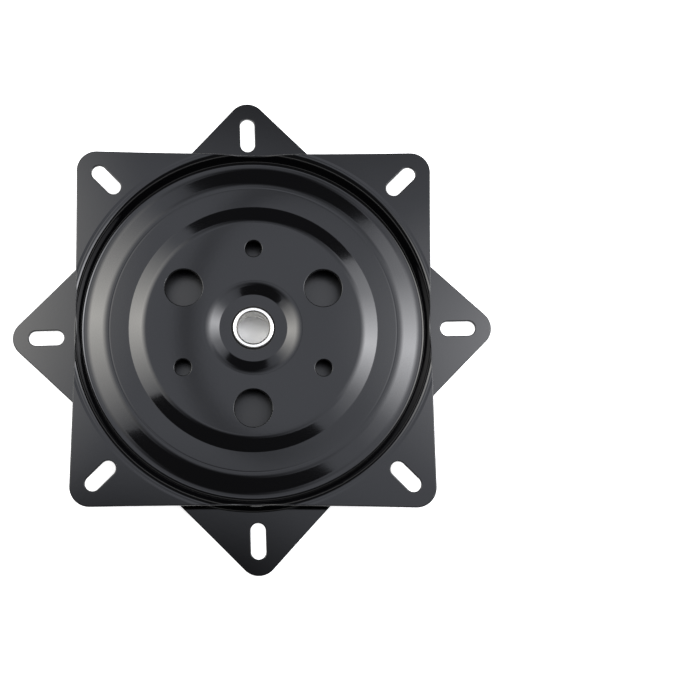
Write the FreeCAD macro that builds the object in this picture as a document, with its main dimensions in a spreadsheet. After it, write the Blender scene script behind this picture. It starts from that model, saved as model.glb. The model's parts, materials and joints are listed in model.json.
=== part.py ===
import FreeCAD, Part
import math
import os

import Sketcher

os.makedirs("parts", exist_ok=True)
doc = FreeCAD.newDocument("seat_swivel_plate")

# Driving sizes in millimetres and degrees. A depth is measured from the plate's
# mounting face down into its dish. The dish's bands are given as widths: the wall,
# foot, shoulder and race count inwards from the plate's side, the boss outwards from
# the axis. The balls run under the race, and the shoulder is flat with it.
SIZES = {
    "plate_side": 200.0,
    "corner_radius": 11.0,
    "side_draw": 1.3,
    "gauge": 2.5,
    "rim_round": 0.5,
    "wall_inset": 0.7,
    "wall_run": 3.5,
    "foot_width": 3.8,
    "foot_depth": 8.23,
    "foot_slope": 9.0,
    "race_shoulder": 3.0,
    "race_width": 10.6,
    "race_depth": 6.9,
    "race_slope": 8.0,
    "floor_depth": 5.35,
    "boss_slope": 7.35,
    "boss_radius": 18.9,
    "boss_depth": 7.18,
    "crease_bend": 2.0,
    "boss_bend": 20.0,
    "floor_bend": 14.0,
    "foot_bend": 16.0,
    "corner_bend": 2.6,
    "wall_bend": 1.0,
    "slot_inset": 17.0,
    "slot_width": 8.4,
    "slot_length": 20.0,
    "hole_inset": 18.85,
    "hole_turn": 105.0,
    "large_hole": 21.0,
    "small_hole": 9.3,
    "rivet_bore": 8.8,
    "rivet_wall": 1.2,
    "lip_width": 1.5,
    "lip_rise": 1.4,
    "lip_round": 0.6,
    "mouth_round": 1.0,
    "running_gap": 0.05,
    "spacer_wall": 3.95,
    "ball_size": 7.94,
    "ball_count": 24,
    "rolling_gap": 0.03,
    "pocket_gap": 0.2,
    "cage_rim": 1.43,
    "cage_height": 4.0,
    "rest_turn": 43.4,
}

sizes = doc.addObject("Spreadsheet::Sheet", "Sizes")
for row, (alias, value) in enumerate(SIZES.items(), start=1):
    sizes.set(f"A{row}", alias)
    sizes.set(f"B{row}", str(value))
    sizes.setAlias(f"B{row}", alias)
doc.recompute()


def driven(words):
    """An expression in which each size's name points at its cell."""
    parts = words.split()
    return " ".join("Sizes." + part if part in SIZES else part for part in parts)


def number(expression):
    return float(sizes.evalExpression(expression))


# Sizes that follow from others, as expressions.
HALF_SIDE = driven("( plate_side / 2 )")
WALL_TOP = f"({HALF_SIDE} - Sizes.wall_inset)"
FOOT_END = f"({WALL_TOP} - Sizes.wall_run)"
FOOT_START = f"({FOOT_END} - Sizes.foot_width)"
SHOULDER_END = f"({FOOT_START} - Sizes.foot_slope)"
RACE_OUTER = f"({SHOULDER_END} - Sizes.race_shoulder)"
RACE_INNER = f"({RACE_OUTER} - Sizes.race_width)"
RACE_CENTRE = f"(({RACE_INNER} + {RACE_OUTER}) / 2)"
FLOOR_END = f"({RACE_INNER} - Sizes.race_slope)"
FLOOR_START = driven("( boss_radius + boss_slope )")
HOLE_CIRCLE = f"({FLOOR_START} + Sizes.hole_inset)"
HEIGHT = driven("( 2 * ( race_depth + gauge + rolling_gap ) + ball_size )")
SLOT_CIRCLE = f"(({HALF_SIDE} - Sizes.slot_inset) * sqrt(2))"
RIVET_OUTER = driven("( rivet_bore + rivet_wall )")
CENTRE_HOLE = f"({RIVET_OUTER} + Sizes.running_gap)"
BLANK = f"({HALF_SIDE} * 1.5)"


def origin_part(body, role):
    return next(f for f in body.Origin.OriginFeatures if f.Role == role)


def new_body(name):
    body = doc.addObject("PartDesign::Body", name)
    body.Label = name
    return body


def new_sketch(body, name, plane, turn=None):
    sketch = body.newObject("Sketcher::SketchObject", name)
    sketch.AttachmentSupport = (origin_part(body, plane), [""])
    sketch.MapMode = "FlatFace"
    if turn is not None:
        axis = FreeCAD.Vector(0, 0, 1)
        sketch.AttachmentOffset = FreeCAD.Placement(
            FreeCAD.Vector(), FreeCAD.Rotation(axis, number(turn))
        )
        sketch.setExpression("AttachmentOffset.Rotation.Angle", turn)
    return sketch


def drive(sketch, constraint, expression):
    index = sketch.addConstraint(constraint)
    sketch.setExpression(f"Constraints[{index}]", expression)


def pin_point(sketch, edge, end, x, y):
    """Tie one end of a sketch edge to driven distances from the origin."""
    drive(sketch, Sketcher.Constraint("DistanceX", -1, 1, edge, end, number(x)), x)
    drive(sketch, Sketcher.Constraint("DistanceY", -1, 1, edge, end, number(y)), y)


def draw_polygon(sketch, points):
    """Closed outline through points, each given as a pair of expressions."""
    places = [FreeCAD.Vector(number(x), number(y), 0) for x, y in points]
    for here, there in zip(places, places[1:] + places[:1]):
        sketch.addGeometry(Part.LineSegment(here, there), False)
    count = len(points)
    for edge in range(count):
        joint = Sketcher.Constraint("Coincident", edge, 2, (edge + 1) % count, 1)
        sketch.addConstraint(joint)
    for edge, (x, y) in enumerate(points):
        pin_point(sketch, edge, 1, x, y)


def draw_circle(sketch, x, radius):
    centre = FreeCAD.Vector(number(x), 0, 0)
    circle = Part.Circle(centre, FreeCAD.Vector(0, 0, 1), number(radius))
    edge = sketch.addGeometry(circle, False)
    drive(sketch, Sketcher.Constraint("Radius", edge, number(radius)), radius)
    drive(sketch, Sketcher.Constraint("DistanceX", -1, 1, edge, 3, number(x)), x)
    sketch.addConstraint(Sketcher.Constraint("PointOnObject", edge, 3, -1))


def revolve(body, sketch):
    turned = body.newObject("PartDesign::Revolution", "Turned")
    turned.Profile = sketch
    turned.ReferenceAxis = (sketch, ["V_Axis"])
    turned.Angle = 360
    doc.recompute()
    return turned


def cut_through(body, name, sketch):
    pocket = body.newObject("PartDesign::Pocket", name)
    pocket.Profile = sketch
    pocket.Type = "ThroughAll"
    pocket.Midplane = True
    doc.recompute()
    return pocket


def repeat_round(body, name, feature, copies):
    pattern = body.newObject("PartDesign::PolarPattern", name)
    pattern.Originals = [feature]
    pattern.Axis = (origin_part(body, "Z_Axis"), [""])
    pattern.Angle = 360
    pattern.Occurrences = copies
    body.Tip = pattern
    doc.recompute()
    return pattern


def round_edges(body, name, radius, wanted):
    """Fillet the edges of the body's tip that the test `wanted` picks."""
    base = body.Tip
    names = [f"Edge{i}" for i, edge in enumerate(base.Shape.Edges, 1) if wanted(edge)]
    fillet = body.newObject("PartDesign::Fillet", name)
    fillet.Base = (base, names)
    fillet.Radius = number(radius)
    fillet.setExpression("Radius", radius)
    body.Tip = fillet
    doc.recompute()
    return fillet


def ring_test(rings):
    """True for a whole circle round the axis at one of the (radius, height) rings."""
    places = [(number(radius), number(height)) for radius, height in rings]

    def wanted(edge):
        curve = edge.Curve
        if not isinstance(curve, Part.Circle) or not edge.isClosed():
            return False
        if math.hypot(curve.Center.x, curve.Center.y) > 1e-4:
            return False
        return any(
            abs(curve.Radius - radius) < 1e-3 and abs(curve.Center.z - height) < 1e-3
            for radius, height in places
        )

    return wanted


def rim_test(shape):
    """True for an edge between a face of the sheet and a punched or sheared wall."""

    def is_wall(face):
        low_u, high_u, low_v, high_v = face.ParameterRange
        normal = face.normalAt((low_u + high_u) / 2, (low_v + high_v) / 2)
        straight = isinstance(face.Surface, (Part.Cylinder, Part.Plane))
        return straight and abs(normal.z) < 1e-6

    def wanted(edge):
        curve = edge.Curve
        if isinstance(curve, Part.Circle) and math.hypot(curve.Center.x, curve.Center.y) < 1e-4:
            return False
        if edge.BoundBox.XLength < 1e-4 and edge.BoundBox.YLength < 1e-4:
            return False
        return sum(is_wall(face) for face in shape.ancestorsOfType(edge, Part.Face)) == 1

    return wanted


# The dish in section, from the centre hole out: radius and depth of each bend on
# the open face, which of the bend radii it has, and whether the open face
# lies inside or outside the bend. Each pair has one slope between its two bends.
BENDS = [
    ("Sizes.boss_radius", "Sizes.boss_depth", "crease_bend", "inside"),
    (FLOOR_START, "Sizes.floor_depth", "boss_bend", "outside"),
    (FLOOR_END, "Sizes.floor_depth", "floor_bend", "outside"),
    (RACE_INNER, "Sizes.race_depth", "crease_bend", "inside"),
    (SHOULDER_END, "Sizes.race_depth", "foot_bend", "outside"),
    (FOOT_START, "Sizes.foot_depth", "foot_bend", "inside"),
    (FOOT_END, "Sizes.foot_depth", "corner_bend", "inside"),
    (WALL_TOP, "0", "wall_bend", "outside"),
]


def stamped_plate(name, upper):
    """One square stamping. The upper one dishes down, the lower one up."""
    body = new_body(name)
    level = f"{HEIGHT} - " if upper else ""
    to_back = "- Sizes.gauge" if upper else "+ Sizes.gauge"

    open_face = [(CENTRE_HOLE, f"{level}Sizes.boss_depth")]
    back_face = [(CENTRE_HOLE, f"{level}Sizes.boss_depth {to_back}")]
    for first, last in zip(BENDS[0::2], BENDS[1::2]):
        slope = f"atan(({first[1]} - {last[1]}) / ({last[0]} - {first[0]}))"
        for radius, depth, _, _ in (first, last):
            open_face.append((radius, level + depth))
            back_radius = f"{radius} + Sizes.gauge * tan({slope} / 2)"
            back_face.append((back_radius, f"{level}{depth} {to_back}"))
    open_face.append((BLANK, f"{level}0"))
    back_face.append((BLANK, f"{level}0 {to_back}"))

    section = new_sketch(body, name + "_section", "XZ_Plane")
    draw_polygon(section, open_face + back_face[::-1])
    body.Tip = revolve(body, section)

    for bend in dict.fromkeys(kind for _, _, kind, _ in BENDS):
        tight = []
        wide = []
        for index, (_, _, kind, way) in enumerate(BENDS, start=1):
            if kind != bend:
                continue
            inside, outside = open_face[index], back_face[index]
            if way == "outside":
                inside, outside = outside, inside
            tight.append(inside)
            wide.append(outside)
        round_edges(body, f"{name}_{bend}_inside", f"Sizes.{bend}", ring_test(tight))
        round_edges(body, f"{name}_{bend}_outside", f"Sizes.{bend} + Sizes.gauge", ring_test(wide))

    trim_sides(body, name)
    cut_slots(body, name)
    if upper:
        cut_floor_holes(body, "large", "Sizes.large_hole", "Sizes.hole_turn")
        cut_floor_holes(body, "small", "Sizes.small_hole", "Sizes.hole_turn - 60")
    round_edges(body, name + "_rims", "Sizes.rim_round", rim_test(body.Tip.Shape))
    return body


def trim_sides(body, name):
    """Square the blank: four sides drawn in a little, then four round corners."""
    sketch = new_sketch(body, name + "_side", "XY_Plane", "45")
    half = HALF_SIDE
    bow = f"(({half} ^ 2 + Sizes.side_draw ^ 2) / (2 * Sizes.side_draw))"
    corners = [
        (half, half),
        (BLANK, half),
        (BLANK, BLANK),
        (f"-{BLANK}", BLANK),
        (f"-{BLANK}", half),
        (f"-{half}", half),
    ]
    places = [FreeCAD.Vector(number(x), number(y), 0) for x, y in corners]
    for here, there in zip(places, places[1:]):
        sketch.addGeometry(Part.LineSegment(here, there), False)
    middle = FreeCAD.Vector(0, number(half) - number("Sizes.side_draw"), 0)
    curve = Part.Arc(places[-1], middle, places[0])
    arc = sketch.addGeometry(curve, False)
    for edge, (x, y) in enumerate(corners[:-1]):
        pin_point(sketch, edge, 1, x, y)
        if edge:
            sketch.addConstraint(Sketcher.Constraint("Coincident", edge - 1, 2, edge, 1))
    pin_point(sketch, arc - 1, 2, *corners[-1])
    sketch.addConstraint(Sketcher.Constraint("Coincident", arc, 1, arc - 1, 2))
    sketch.addConstraint(Sketcher.Constraint("Coincident", arc, 2, 0, 1))
    drive(sketch, Sketcher.Constraint("Radius", arc, number(bow)), bow)
    trim = cut_through(body, name + "_trim", sketch)
    repeat_round(body, name + "_sides", trim, 4)

    corner = number(HALF_SIDE) * math.sqrt(2)

    def upright_corner(edge):
        middle = edge.CenterOfMass
        upright = abs(edge.BoundBox.XLength) < 1e-4 and abs(edge.BoundBox.YLength) < 1e-4
        return upright and abs(math.hypot(middle.x, middle.y) - corner) < 1e-3

    round_edges(body, name + "_corners", "Sizes.corner_radius", upright_corner)


def cut_slots(body, name):
    """A slot in each corner, running out along the corner's diagonal."""
    sketch = new_sketch(body, name + "_slot", "XY_Plane")
    reach = "((Sizes.slot_length - Sizes.slot_width) / 2)"
    end_radius = "Sizes.slot_width / 2"
    near = FreeCAD.Vector(number(f"{SLOT_CIRCLE} - {reach}"), 0, 0)
    far = FreeCAD.Vector(number(f"{SLOT_CIRCLE} + {reach}"), 0, 0)
    radius = number(end_radius)
    up = FreeCAD.Vector(0, radius, 0)
    normal = FreeCAD.Vector(0, 0, 1)
    sketch.addGeometry(Part.LineSegment(near + up, far + up), False)
    sketch.addGeometry(
        Part.ArcOfCircle(Part.Circle(far, normal, radius), -math.pi / 2, math.pi / 2), False
    )
    sketch.addGeometry(Part.LineSegment(far - up, near - up), False)
    sketch.addGeometry(
        Part.ArcOfCircle(Part.Circle(near, normal, radius), math.pi / 2, 1.5 * math.pi), False
    )
    for first, last in (((0, 2), (1, 2)), ((1, 1), (2, 1)), ((2, 2), (3, 2)), ((3, 1), (0, 1))):
        sketch.addConstraint(Sketcher.Constraint("Tangent", *first, *last))
    for arc, place in ((1, f"{SLOT_CIRCLE} + {reach}"), (3, f"{SLOT_CIRCLE} - {reach}")):
        sketch.addConstraint(Sketcher.Constraint("PointOnObject", arc, 3, -1))
        drive(sketch, Sketcher.Constraint("DistanceX", -1, 1, arc, 3, number(place)), place)
    drive(sketch, Sketcher.Constraint("Radius", 1, radius), end_radius)
    slot = cut_through(body, name + "_slot_cut", sketch)
    repeat_round(body, name + "_slots", slot, 4)


def cut_floor_holes(body, label, diameter, turn):
    sketch = new_sketch(body, f"{label}_hole", "XY_Plane", turn)
    draw_circle(sketch, HOLE_CIRCLE, f"{diameter} / 2")
    hole = cut_through(body, f"{label}_hole_cut", sketch)
    repeat_round(body, f"{label}_holes", hole, 3)


upper_plate = stamped_plate("upper_plate", upper=True)
upper_plate.Placement = FreeCAD.Placement(
    FreeCAD.Vector(), FreeCAD.Rotation(FreeCAD.Vector(0, 0, 1), number("Sizes.rest_turn"))
)
upper_plate.setExpression("Placement.Rotation.Angle", "Sizes.rest_turn")
lower_plate = stamped_plate("lower_plate", upper=False)


def make_rivet():
    """Hollow rivet: closed tight on the lower boss, a running fit in the upper one."""
    body = new_body("centre_rivet")
    bottom = driven("boss_depth - lip_rise")
    lower_seat = "Sizes.boss_depth"
    upper_seat = f"{HEIGHT} - Sizes.boss_depth + Sizes.running_gap"
    top = f"{HEIGHT} - Sizes.boss_depth + Sizes.lip_rise"
    bore = "Sizes.rivet_bore"
    lip = f"{RIVET_OUTER} + Sizes.lip_width"
    section = new_sketch(body, "rivet_section", "XZ_Plane")
    draw_polygon(
        section,
        [
            (bore, bottom),
            (lip, bottom),
            (lip, lower_seat),
            (RIVET_OUTER, lower_seat),
            (RIVET_OUTER, upper_seat),
            (lip, upper_seat),
            (lip, top),
            (bore, top),
        ],
    )
    body.Tip = revolve(body, section)
    round_edges(body, "rivet_lips", "Sizes.lip_round", ring_test([(lip, bottom), (lip, top)]))
    round_edges(body, "rivet_mouths", "Sizes.mouth_round", ring_test([(bore, bottom), (bore, top)]))
    return body


def make_ring(name, inner, outer, low, high):
    body = new_body(name)
    section = new_sketch(body, name + "_section", "XZ_Plane")
    draw_polygon(section, [(inner, low), (outer, low), (outer, high), (inner, high)])
    body.Tip = revolve(body, section)
    return body


centre_rivet = make_rivet()
centre_spacer = make_ring(
    "centre_spacer",
    CENTRE_HOLE,
    f"{CENTRE_HOLE} + Sizes.spacer_wall",
    driven("boss_depth + gauge"),
    f"{HEIGHT} - " + driven("boss_depth - gauge - running_gap"),
)
POCKET = driven("( ball_size / 2 + pocket_gap )")
ball_cage = make_ring(
    "ball_cage",
    f"{RACE_CENTRE} - {POCKET} - Sizes.cage_rim",
    f"{RACE_CENTRE} + {POCKET} + Sizes.cage_rim",
    f"({HEIGHT} - Sizes.cage_height) / 2",
    f"({HEIGHT} + Sizes.cage_height) / 2",
)


def place_on_race(obj, turn):
    """Put a ball's centre on the race circle, half way up the stack."""
    where = {
        "x": f"{RACE_CENTRE} * cos({turn})",
        "y": f"{RACE_CENTRE} * sin({turn})",
        "z": f"{HEIGHT} / 2",
    }
    obj.Placement.Base = FreeCAD.Vector(*[number(value) for value in where.values()])
    for axis, value in where.items():
        obj.setExpression(f"Placement.Base.{axis}", value)


pocket = ball_cage.newObject("PartDesign::SubtractiveSphere", "pocket")
pocket.setExpression("Radius", POCKET)
place_on_race(pocket, "0")
doc.recompute()
ball_total = int(number("Sizes.ball_count"))
repeat_round(ball_cage, "pockets", pocket, ball_total)

balls = []
for index in range(ball_total):
    ball = doc.addObject("Part::Sphere", f"bearing_ball_{index + 1:02d}")
    ball.Label = f"bearing_ball_{index + 1:02d}"
    ball.setExpression("Radius", "Sizes.ball_size / 2")
    place_on_race(ball, f"{index} * 360 / Sizes.ball_count")
    balls.append(ball)
doc.recompute()

pieces = [upper_plate, lower_plate, centre_rivet, centre_spacer, ball_cage] + balls
for obj in doc.Objects:
    if "Invalid" in obj.State or "Error" in obj.State:
        raise RuntimeError(f"{obj.Name} failed: {obj.State}")
for piece in pieces:
    shape = piece.Shape
    if shape.isNull() or not shape.isValid() or len(shape.Solids) != 1:
        raise RuntimeError(f"{piece.Label} is not one valid solid")

for piece in pieces:
    piece.Shape.exportStep(f"parts/{piece.Label}.step")
    box = piece.Shape.BoundBox
    print(
        f"{piece.Label}: {piece.Shape.Volume:.1f} mm3, "
        f"x {box.XMin:.2f} {box.XMax:.2f}, y {box.YMin:.2f} {box.YMax:.2f}, "
        f"z {box.ZMin:.2f} {box.ZMax:.2f}"
    )
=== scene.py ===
import json
import math

import bmesh
import bpy
import numpy as np
from mathutils import Matrix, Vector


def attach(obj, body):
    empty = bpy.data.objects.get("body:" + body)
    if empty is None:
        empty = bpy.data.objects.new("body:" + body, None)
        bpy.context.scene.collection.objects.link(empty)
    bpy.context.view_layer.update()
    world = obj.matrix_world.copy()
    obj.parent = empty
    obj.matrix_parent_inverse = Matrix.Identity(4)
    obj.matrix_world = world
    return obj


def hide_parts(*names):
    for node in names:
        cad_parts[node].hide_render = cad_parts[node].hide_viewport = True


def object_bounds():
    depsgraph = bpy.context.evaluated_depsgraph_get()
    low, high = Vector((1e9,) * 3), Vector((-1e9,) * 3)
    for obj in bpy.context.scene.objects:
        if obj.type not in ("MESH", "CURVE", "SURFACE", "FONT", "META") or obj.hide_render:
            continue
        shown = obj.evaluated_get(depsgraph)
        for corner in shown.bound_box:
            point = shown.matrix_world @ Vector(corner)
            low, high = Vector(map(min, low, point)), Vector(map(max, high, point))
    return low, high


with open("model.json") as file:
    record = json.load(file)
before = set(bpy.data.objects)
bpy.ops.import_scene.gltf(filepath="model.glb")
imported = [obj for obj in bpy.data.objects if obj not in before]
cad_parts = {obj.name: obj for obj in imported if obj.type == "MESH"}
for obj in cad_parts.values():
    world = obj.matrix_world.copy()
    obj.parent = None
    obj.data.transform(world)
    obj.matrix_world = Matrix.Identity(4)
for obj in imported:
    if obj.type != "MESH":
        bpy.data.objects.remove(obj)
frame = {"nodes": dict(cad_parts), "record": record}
cad_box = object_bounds()

# Heights in metres of the middle of the stack and of the upper plate's mounting face.
MIDDLE = 0.0134
TOP = cad_box[1][2]


def linear(code):
    """An sRGB hex colour as the linear RGBA that shaders expect."""
    def channel(text):
        value = int(text, 16) / 255
        return value / 12.92 if value <= 0.04045 else ((value + 0.055) / 1.055) ** 2.4
    return tuple(channel(code[i:i + 2]) for i in (1, 3, 5)) + (1.0,)


def add(tree, kind, links=None, **settings):
    """Adds a node; links maps its inputs to other nodes' sockets or to plain values."""
    node = tree.nodes.new("ShaderNode" + kind)
    for name, value in settings.items():
        setattr(node, name, value)
    for name, value in (links or {}).items():
        if isinstance(value, bpy.types.NodeSocket):
            tree.links.new(value, node.inputs[name])
        else:
            node.inputs[name].default_value = value
    return node


def new_material(name):
    """An empty material and its node tree."""
    material = bpy.data.materials.new(name)
    material.use_nodes = True
    material.node_tree.nodes.clear()
    return material, material.node_tree


def finish(tree, shader):
    add(tree, "OutputMaterial", {"Surface": shader.outputs[0]})


def sum_of(tree, *values):
    total = values[0]
    for value in values[1:]:
        total = add(tree, "Math", {0: total, 1: value}, operation="ADD").outputs[0]
    return total


def times(tree, pattern, amount):
    """A pattern from 0 to 1 as a height of so many metres, or as so much roughness."""
    return add(tree, "Math", {0: pattern, 1: amount}, operation="MULTIPLY").outputs[0]


def relief(tree, height):
    """A bump whose height is in metres, so its slopes are the real ones."""
    bump = add(tree, "Bump", {"Height": height, "Strength": 1.0, "Distance": 1.0})
    return bump.outputs["Normal"]


def from_axis(tree, where):
    """Distance from the swivel axis."""
    flat = add(tree, "VectorMath", {0: where, 1: (1.0, 1.0, 0.0)}, operation="MULTIPLY")
    return add(tree, "VectorMath", {0: flat.outputs[0]}, operation="LENGTH").outputs["Value"]


def ramp(tree, value, low, high, start, end, smooth=False):
    """Goes from start to end while the value goes from low to high, and stays there."""
    kind = "SMOOTHSTEP" if smooth else "LINEAR"
    node = add(tree, "MapRange", {
        "Value": value, "From Min": low, "From Max": high, "To Min": start, "To Max": end,
    }, interpolation_type=kind)
    return node.outputs["Result"]


def size_of(tree, value, place):
    """How far a value is from a place, either way."""
    off = add(tree, "Math", {0: value, 1: place}, operation="SUBTRACT").outputs[0]
    return add(tree, "Math", {0: off}, operation="ABSOLUTE").outputs[0]


def line_at(tree, value, place, half_width):
    """1 on a thin line where the value equals the place, falling to 0 beside it."""
    return ramp(tree, size_of(tree, value, place), 0.0, half_width, 1.0, 0.0, smooth=True)


def blend(tree, factor, first, last):
    """A colour between two others."""
    node = add(tree, "Mix", {"Factor": factor, 6: linear(first), 7: linear(last)}, data_type="RGBA")
    return node.outputs[2]


def turning_rings(tree, where, feed):
    """The rings that a lathe tool leaves, one for each feed, in metres."""
    along = add(tree, "SeparateXYZ", {0: where}).outputs["Z"]
    path = sum_of(tree, from_axis(tree, where), along)
    turns = add(tree, "Math", {0: path, 1: 2 * math.pi / feed}, operation="MULTIPLY")
    return add(tree, "Math", {0: turns.outputs[0]}, operation="SINE").outputs[0]


def black_coating():
    """Stoved black dip coat over pressed sheet.

    The eye sees a wet, nearly black skin whose reflections have hard edges, a faint
    orange peel, cloudier patches where the coat ran thick, and the press's two rings.
    """
    material, tree = new_material("stoved_black_dip_coat")
    coords = add(tree, "TexCoord")
    where = coords.outputs["Object"]
    radius = from_axis(tree, where)

    # Scale 18 a metre gives patches about 55 mm across, 420 gives the peel's 2.4 mm
    # cells and 3000 the 0.3 mm grain of a coat that is stoved, not polished.
    patches = add(tree, "TexNoise", {"Vector": where, "Scale": 18.0, "Detail": 3.0}).outputs[0]
    peel = add(tree, "TexNoise", {"Vector": where, "Scale": 420.0, "Detail": 1.0}).outputs[0]
    grain = add(tree, "TexNoise", {"Vector": where, "Scale": 3000.0, "Detail": 2.0}).outputs[0]

    # The blank holder's edge leaves a 0.1 mm step on the open face, 103 mm from the axis,
    # and the race ends in a faint crease at 80 mm. Pressed sheet also rolls a little,
    # 0.05 mm in 50 mm.
    height = add(tree, "SeparateXYZ", {0: where}).outputs["Z"]
    from_middle = size_of(tree, height, MIDDLE)
    step = add(tree, "Math", {
        0: ramp(tree, radius, 0.102, 0.1037, 0.0, 1.0, smooth=True),
        1: ramp(tree, from_middle, 0.012, 0.0125, 0.0, 1.0)}, operation="MULTIPLY").outputs[0]
    rolling = add(tree, "TexNoise", {"Vector": where, "Scale": 20.0, "Detail": 1.0}).outputs[0]
    crease = line_at(tree, radius, 0.0803, 0.0007)
    normal = relief(tree, sum_of(
        tree,
        times(tree, peel, 3.0e-6),
        times(tree, grain, 2.0e-7),
        times(tree, step, 1.0e-4),
        times(tree, rolling, 5.0e-5),
        times(tree, crease, -2.0e-5),
    ))

    # The coat is thin and dull on sheared walls, which stand upright, and smeared with
    # grease inside, less than 5.7 mm from the middle of the stack and 83 mm from the axis.
    # Closing the rivet bruises it in a ring 12 mm from the axis.
    rise = add(tree, "SeparateXYZ", {0: coords.outputs["Normal"]}).outputs["Z"]
    wall = ramp(tree, size_of(tree, rise, 0.0), 0.1, 0.35, 0.2, 0.0)
    between = ramp(tree, from_middle, 0.0057, 0.0062, 0.22, 0.0)
    inside = add(tree, "Math", {
        0: between, 1: ramp(tree, radius, 0.08, 0.086, 1.0, 0.0)}, operation="MULTIPLY").outputs[0]
    bruise = times(tree, line_at(tree, radius, 0.0119, 0.0011), 0.9)
    gloss = ramp(tree, patches, 0.3, 0.7, 0.055, 0.085)
    shader = add(tree, "BsdfPrincipled", {
        "Base Color": blend(tree, patches, "#050506", "#08080a"),
        "Roughness": sum_of(tree, gloss, wall, inside, bruise), "IOR": 1.5, "Normal": normal})
    finish(tree, shader)
    return material


def bright_nickel():
    """Nickel plate over a turned steel rivet: white metal with very fine turning rings."""
    material, tree = new_material("nickel_plate_over_turned_steel")
    where = add(tree, "TexCoord").outputs["Object"]
    rings = turning_rings(tree, where, 0.00015)
    # Handling leaves the plating cloudy in patches about 6 mm across. A dark ring is painted where
    # the mouth's round begins, 9.4 mm from the axis: painted shade of the rim turning down into the
    # bore.
    smear = add(tree, "TexNoise", {"Vector": where, "Scale": 160.0, "Detail": 4.0}).outputs[0]
    mouth_shade = line_at(tree, from_axis(tree, where), 0.0094, 0.0006)
    plating_tone = blend(tree, smear, "#f4f3f0", "#e4e2dd")
    colour = add(tree, "Mix", {"Factor": mouth_shade, 6: plating_tone, 7: linear("#5c5a55")}, data_type="RGBA")
    shader = add(tree, "BsdfPrincipled", {
        "Base Color": colour.outputs[2], "Metallic": 1.0,
        "Roughness": ramp(tree, smear, 0.3, 0.7, 0.2, 0.3),
        "Normal": relief(tree, times(tree, rings, 1.5e-7))})
    finish(tree, shader)
    return material


def turned_zinc():
    """Zinc plate over a turned sleeve: grey-blue metal, coarse turning rings, a dull bloom."""
    material, tree = new_material("zinc_plate_over_turned_sleeve")
    where = add(tree, "TexCoord").outputs["Object"]
    rings = turning_rings(tree, where, 0.00025)
    # The bloom lies in spots about 4.5 mm across.
    bloom = add(tree, "TexNoise", {"Vector": where, "Scale": 220.0, "Detail": 5.0}).outputs[0]
    shader = add(tree, "BsdfPrincipled", {
        "Base Color": blend(tree, bloom, "#b4bac2", "#9b9a90"), "Metallic": 1.0,
        "Roughness": ramp(tree, bloom, 0.3, 0.7, 0.28, 0.45),
        "Normal": relief(tree, times(tree, rings, 6.0e-7))})
    finish(tree, shader)
    return material


def moulded_nylon():
    """Natural nylon, injection moulded: milky, a little see-through, with a parting line."""
    material, tree = new_material("natural_moulded_nylon")
    where = add(tree, "TexCoord").outputs["Object"]
    along = add(tree, "SeparateXYZ", {0: where}).outputs["Z"]
    # Milky clouds about 12 mm across, and the mould's 0.5 mm spark texture.
    clouds = add(tree, "TexNoise", {"Vector": where, "Scale": 80.0, "Detail": 3.0}).outputs[0]
    spark = add(tree, "TexNoise", {"Vector": where, "Scale": 2000.0, "Detail": 2.0}).outputs[0]
    parting = line_at(tree, along, MIDDLE, 0.00012)
    shader = add(tree, "BsdfPrincipled", {
        "Base Color": blend(tree, clouds, "#e2ddcf", "#d3ccb9"),
        "Roughness": ramp(tree, clouds, 0.3, 0.7, 0.38, 0.5),
        "Subsurface Weight": 0.3, "Subsurface Scale": 1.0,
        "Subsurface Radius": (0.0012, 0.001, 0.0008),
        "Normal": relief(tree, sum_of(
            tree, times(tree, spark, 3.0e-6), times(tree, parting, 4.0e-5)))})
    finish(tree, shader)
    return material


def lapped_steel():
    """Ground and lapped bearing steel under a film of amber grease."""
    material, tree = new_material("lapped_bearing_steel_with_grease")
    where = add(tree, "TexCoord").outputs["Object"]
    # Grease lies in streaks about 3 mm wide.
    streaks = add(tree, "TexNoise", {"Vector": where, "Scale": 330.0, "Detail": 2.0}).outputs[0]
    shader = add(tree, "BsdfPrincipled", {
        "Base Color": linear("#c6c7ca"), "Metallic": 1.0, "Roughness": 0.05,
        "Coat Weight": ramp(tree, streaks, 0.4, 0.65, 0.15, 0.9, smooth=True),
        "Coat Roughness": 0.12, "Coat IOR": 1.47, "Coat Tint": linear("#f3dfae"),
        "Normal": relief(tree, times(tree, streaks, 2.0e-6))})
    finish(tree, shader)
    return material


# The dish's bends in metres: distance from the axis and depth of each corner of the
# section on the open face, and the bend's radius there, negative where the open face
# is outside the bend. Each pair has one slope between its two bends. The slack is in
# metres and radians.
GAUGE = 0.0025
SLACK = 2e-5
SLACK_ANGLE = 0.01
BENDS = np.array([
    (0.0189, 0.00718, 0.002), (0.02625, 0.00535, -0.0225),
    (0.0614, 0.00535, -0.0165), (0.0694, 0.0069, 0.002),
    (0.083, 0.0069, -0.0185), (0.092, 0.00823, 0.016),
    (0.0958, 0.00823, 0.0026), (0.0993, 0.0, -0.0035),
])


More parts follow.
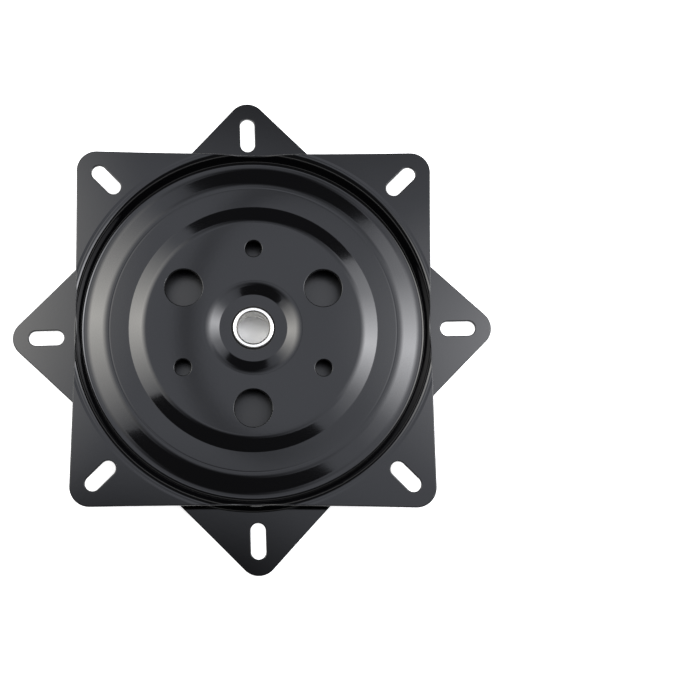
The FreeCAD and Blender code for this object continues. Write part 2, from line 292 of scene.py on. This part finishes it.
def bend_normals(spot, face, faces_up):
    """The true normals of corners on a bend, and which corners those are.

    The solid's own mesh has only two or three rings in a bend, and their normals are
    means of its flat facets, so a gloss coat shows them as teeth. A corner is on a bend
    if it lies on the round of either face, open or back, within the round's angle.
    """
    away = np.hypot(spot[:, 0], spot[:, 1])
    depth = TOP - spot[:, 2] if faces_up else spot[:, 2]
    found = np.zeros(len(spot), bool)
    normal = np.zeros((len(spot), 3))
    for first, last in zip(BENDS[0::2], BENDS[1::2]):
        slope = abs(math.atan((first[1] - last[1]) / (last[0] - first[0])))
        for (radius, corner, bend), side in ((first, -1), (last, 1)):
            way = math.copysign(1.0, bend)
            # From the bend's own axis: outwards, downwards, straight and as an angle.
            out = away - radius - side * abs(bend) * math.tan(slope / 2)
            down = depth - corner + bend
            reach = np.hypot(out, down)
            turn = np.arctan2(-side * out, way * down)
            within = (turn > -SLACK_ANGLE) & (turn < slope + SLACK_ANGLE)
            for size, sign in ((abs(bend), -way), (abs(bend) + way * GAUGE, way)):
                on = within & (abs(reach - size) < SLACK)
                across = sign * out[on] / reach[on] / away[on]
                upward = sign * down[on] / reach[on] * (-1 if faces_up else 1)
                exact = np.column_stack((across * spot[on, 0], across * spot[on, 1], upward))
                same = (exact * face[on]).sum(axis=1) > 0.5
                normal[np.flatnonzero(on)[same]] = exact[same]
                found[np.flatnonzero(on)[same]] = True
    return found, normal


def read(items, field, width, kind=np.float32):
    """One field of all of a mesh's items, a row for each."""
    values = np.empty(len(items) * width, kind)
    items.foreach_get(field, values)
    return values.reshape(-1, width)


def pressed_sheet(name, body, faces_up):
    """A copy of a plate whose bends shade as the true rounds that they are."""
    mesh = frame["nodes"][name].data.copy()
    corners = len(mesh.loops)
    normals = read(mesh.corner_normals, "vector", 3)
    loose = bmesh.new()
    loose.from_mesh(mesh)
    bmesh.ops.remove_doubles(loose, verts=loose.verts, dist=1e-7)
    loose.to_mesh(mesh)
    loose.free()
    if len(mesh.loops) != corners:
        raise RuntimeError(name + " lost a facet when its corners were merged")
    spots = read(mesh.vertices, "co", 3)[read(mesh.loops, "vertex_index", 1, np.int32)[:, 0]]
    # Each facet is a triangle, so its own normal counts for three corners.
    facets = np.repeat(read(mesh.polygons, "normal", 3), 3, axis=0)
    found, exact = bend_normals(spots.astype(float), facets, faces_up)
    normals[found] = exact[found]
    mesh.shade_smooth()
    mesh.normals_split_custom_set(normals)
    sheet = bpy.data.objects.new(name + "_sheet", mesh)
    bpy.context.scene.collection.objects.link(sheet)
    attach(sheet, body)
    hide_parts(name)


FINISHES = {
    "black_coat": black_coating(),
    "bright_rivet": bright_nickel(),
    "zinc_spacer": turned_zinc(),
    "cage_plastic": moulded_nylon(),
    "ball_steel": lapped_steel(),
}
for subpart in frame["record"]["subparts"]:
    node = frame["nodes"][subpart["node"]]
    for slot in node.material_slots:
        slot.material = FINISHES[subpart["material_slot"]]
pressed_sheet("upper_plate", "upper_body", faces_up=True)
pressed_sheet("lower_plate", "lower_body", faces_up=False)


def studio_floor():
    """White sweep, over-lit round the part, shaded under its middle and clear from below."""
    material, tree = new_material("white_studio_sweep")
    where = add(tree, "TexCoord").outputs["Object"]
    # The lit floor starts under the flanges, 85 to 110 mm from the swivel axis. Within 12 mm of the
    # axis, fading out by 16 mm, the floor gets a faint painted glow: a painted pool of light seen
    # through the rivet's bore.
    away = from_axis(tree, where)
    lit = sum_of(
        tree, ramp(tree, away, 0.085, 0.11, 0.0, 0.9, smooth=True),
        ramp(tree, away, 0.012, 0.016, 0.12, 0.0))
    ray = add(tree, "LightPath")
    seen = sum_of(tree, ray.outputs["Is Camera Ray"], ray.outputs["Is Transmission Ray"])
    # Reflections see a pale floor too, but little of it through the bore.
    mirrored = add(tree, "Math", {
        0: ray.outputs["Is Glossy Ray"],
        1: ramp(tree, away, 0.014, 0.03, 0.08, 0.6)}, operation="MULTIPLY").outputs[0]
    strength = add(tree, "Math", {0: seen, 1: lit, 2: mirrored}, operation="MULTIPLY_ADD")
    glow = add(tree, "Emission", {"Color": (1.0, 1.0, 1.0, 1.0), "Strength": strength.outputs[0]})
    paper = add(tree, "BsdfDiffuse", {"Color": linear("#f4f4f3")})
    front = add(tree, "AddShader", {0: paper.outputs[0], 1: glow.outputs[0]})
    finish(tree, add(tree, "MixShader", {
        0: add(tree, "NewGeometry").outputs["Backfacing"], 1: front.outputs[0],
        2: add(tree, "BsdfTransparent").outputs[0]}))
    # The sweep reaches 6 m each way and lies 0.3 mm under the lower plate's flanges.
    far, level = 6.0, -0.0003
    corners = [(-far, -far, level), (far, -far, level), (far, far, level), (-far, far, level)]
    mesh = bpy.data.meshes.new("studio_floor")
    mesh.from_pydata(corners, [], [(0, 1, 2, 3)])
    mesh.materials.append(material)
    sweep = bpy.data.objects.new("studio_floor", mesh)
    bpy.context.scene.collection.objects.link(sweep)


def from_centre(tree, place, x, y, reach_x, reach_y):
    """Distance from the middle of an oval, 1 on its outline."""
    shrunk = add(tree, "VectorMath", {
        0: place, 1: (1 / reach_x, 1 / reach_y, 0.0), 2: (-x / reach_x, -y / reach_y, 0.0),
    }, operation="MULTIPLY_ADD")
    return add(tree, "VectorMath", {0: shrunk.outputs[0]}, operation="LENGTH").outputs["Value"]


def diffuser(centre, turn, width, depth, base, heads):
    """A sheet of diffusing cloth overhead, lit from behind by lamp heads.

    Each head is its x and y on the sheet, its two reaches in metres, its strength and colour.
    """
    data = bpy.data.lights.new("overhead_diffuser", "AREA")
    data.shape = "RECTANGLE"
    data.size = width
    data.size_y = depth
    # Watts for a radiance of 1, which the nodes below then multiply.
    data.energy = math.pi * width * depth
    data.use_nodes = True
    tree = data.node_tree
    tree.nodes.clear()
    place = add(tree, "VectorMath", {
        0: add(tree, "NewGeometry").outputs["Parametric"], 1: (width, depth, 0.0),
        2: (-width / 2, -depth / 2, 0.0)}, operation="MULTIPLY_ADD").outputs[0]
    axes = add(tree, "SeparateXYZ", {0: place})

    # Between the heads the light dies away towards both long edges of the cloth, and
    # a hoop behind it leaves half an oval of soft shadow.
    middle = ramp(tree, size_of(tree, axes.outputs["X"], 0.0), 0.05, 0.44, 1.0, 0.0, smooth=True)
    edges = sum_of(
        tree, ramp(tree, axes.outputs["Y"], 0.08, 0.4, 0.0, 1.0, smooth=True),
        ramp(tree, axes.outputs["Y"], -0.39, -0.18, 1.0, 0.0, smooth=True))
    dim = add(tree, "Math", {0: middle, 1: edges}, operation="MULTIPLY").outputs[0]
    hoop = line_at(tree, from_centre(tree, place, 0.08, -0.011, 0.14, 0.187), 1.0, 0.17)
    half = ramp(tree, axes.outputs["X"], 0.08, 0.22, 0.5, 0.0, smooth=True)
    shade = add(tree, "Math", {0: hoop, 1: half, 2: dim}, operation="MULTIPLY_ADD").outputs[0]
    left = add(tree, "Math", {0: 1.0, 1: shade}, operation="SUBTRACT", use_clamp=True).outputs[0]
    total = add(tree, "VectorMath", {0: base, "Scale": left}, operation="SCALE").outputs[0]
    for x, y, reach_x, reach_y, strength, colour in heads:
        away = from_centre(tree, place, x, y, reach_x, reach_y)
        near = ramp(tree, away, 0.0, 1.0, 1.0, 0.0)
        core = add(tree, "Math", {0: near, 1: 1.3}, operation="POWER")
        tint = tuple(strength * channel for channel in linear(colour)[:3])
        light = add(tree, "VectorMath", {0: tint, "Scale": core.outputs[0]}, operation="SCALE")
        total = add(tree, "VectorMath", {0: total, 1: light.outputs[0]}, operation="ADD").outputs[0]
    glow = add(tree, "Emission", {"Color": total, "Strength": 1.0})
    add(tree, "OutputLight", {"Surface": glow.outputs[0]})
    lamp = bpy.data.objects.new("overhead_diffuser", data)
    lamp.location = centre
    lamp.rotation_euler = (0.0, 0.0, math.radians(turn))
    lamp.visible_camera = False
    bpy.context.scene.collection.objects.link(lamp)


def studio_world():
    """White behind the part for the camera, and a dim room for everything else.

    Reflections also see the white backdrop, which fades out 12 degrees above the floor.
    """
    world = bpy.data.worlds.new("studio")
    bpy.context.scene.world = world
    world.use_nodes = True
    tree = world.node_tree
    tree.nodes.clear()
    ray = add(tree, "LightPath")
    rise = add(tree, "SeparateXYZ", {0: add(tree, "TexCoord").outputs["Generated"]}).outputs["Z"]
    mirrored = add(tree, "Math", {
        0: sum_of(tree, ray.outputs["Is Glossy Ray"], ray.outputs["Is Transmission Ray"]),
        1: ramp(tree, rise, 0.1, 0.3, 1.0, 0.0, smooth=True)}, operation="MULTIPLY").outputs[0]
    strength = ramp(tree, sum_of(tree, ray.outputs["Is Camera Ray"], mirrored), 0.0, 1.0, 0.06, 1.0)
    backdrop = add(tree, "Background", {"Color": (1.0, 1.0, 1.0, 1.0), "Strength": strength})
    add(tree, "OutputWorld", {"Surface": backdrop.outputs[0]})


def photo_camera():
    """The photo's view, fitted to the corners and slots of both plates."""
    data = bpy.data.cameras.new("photo_camera")
    data.sensor_width = 36.0
    data.lens = 71.36
    data.shift_x = 0.1371
    data.shift_y = -0.0286
    camera = bpy.data.objects.new("photo_camera", data)
    camera.matrix_world = Matrix((
        (0.99948, 0.023435, -0.022162, -0.0168),
        (-0.026911, 0.984645, -0.172481, -0.1347),
        (0.01778, 0.172988, 0.984764, 0.7819),
        (0.0, 0.0, 0.0, 1.0),
    ))
    bpy.context.scene.collection.objects.link(camera)
    bpy.context.scene.camera = camera


studio_floor()
diffuser(
    centre=(0.0, 0.236, 1.1), turn=-12.4, width=2.4, depth=0.916, base=(1.25, 1.30, 1.45),
    heads=[
        (-0.53, -0.09, 0.43, 0.48, 8.5, "#fffcf4"),
        (-1.02, -0.06, 0.43, 0.58, 5.3, "#fffdf7"),
        (0.61, 0.01, 0.48, 0.28, 7.9, "#fcfcff"),
        (0.98, 0.24, 0.69, 0.92, 10.0, "#fcfcff"),
    ])
studio_world()
photo_camera()
bpy.context.scene.view_settings.view_transform = "Standard"
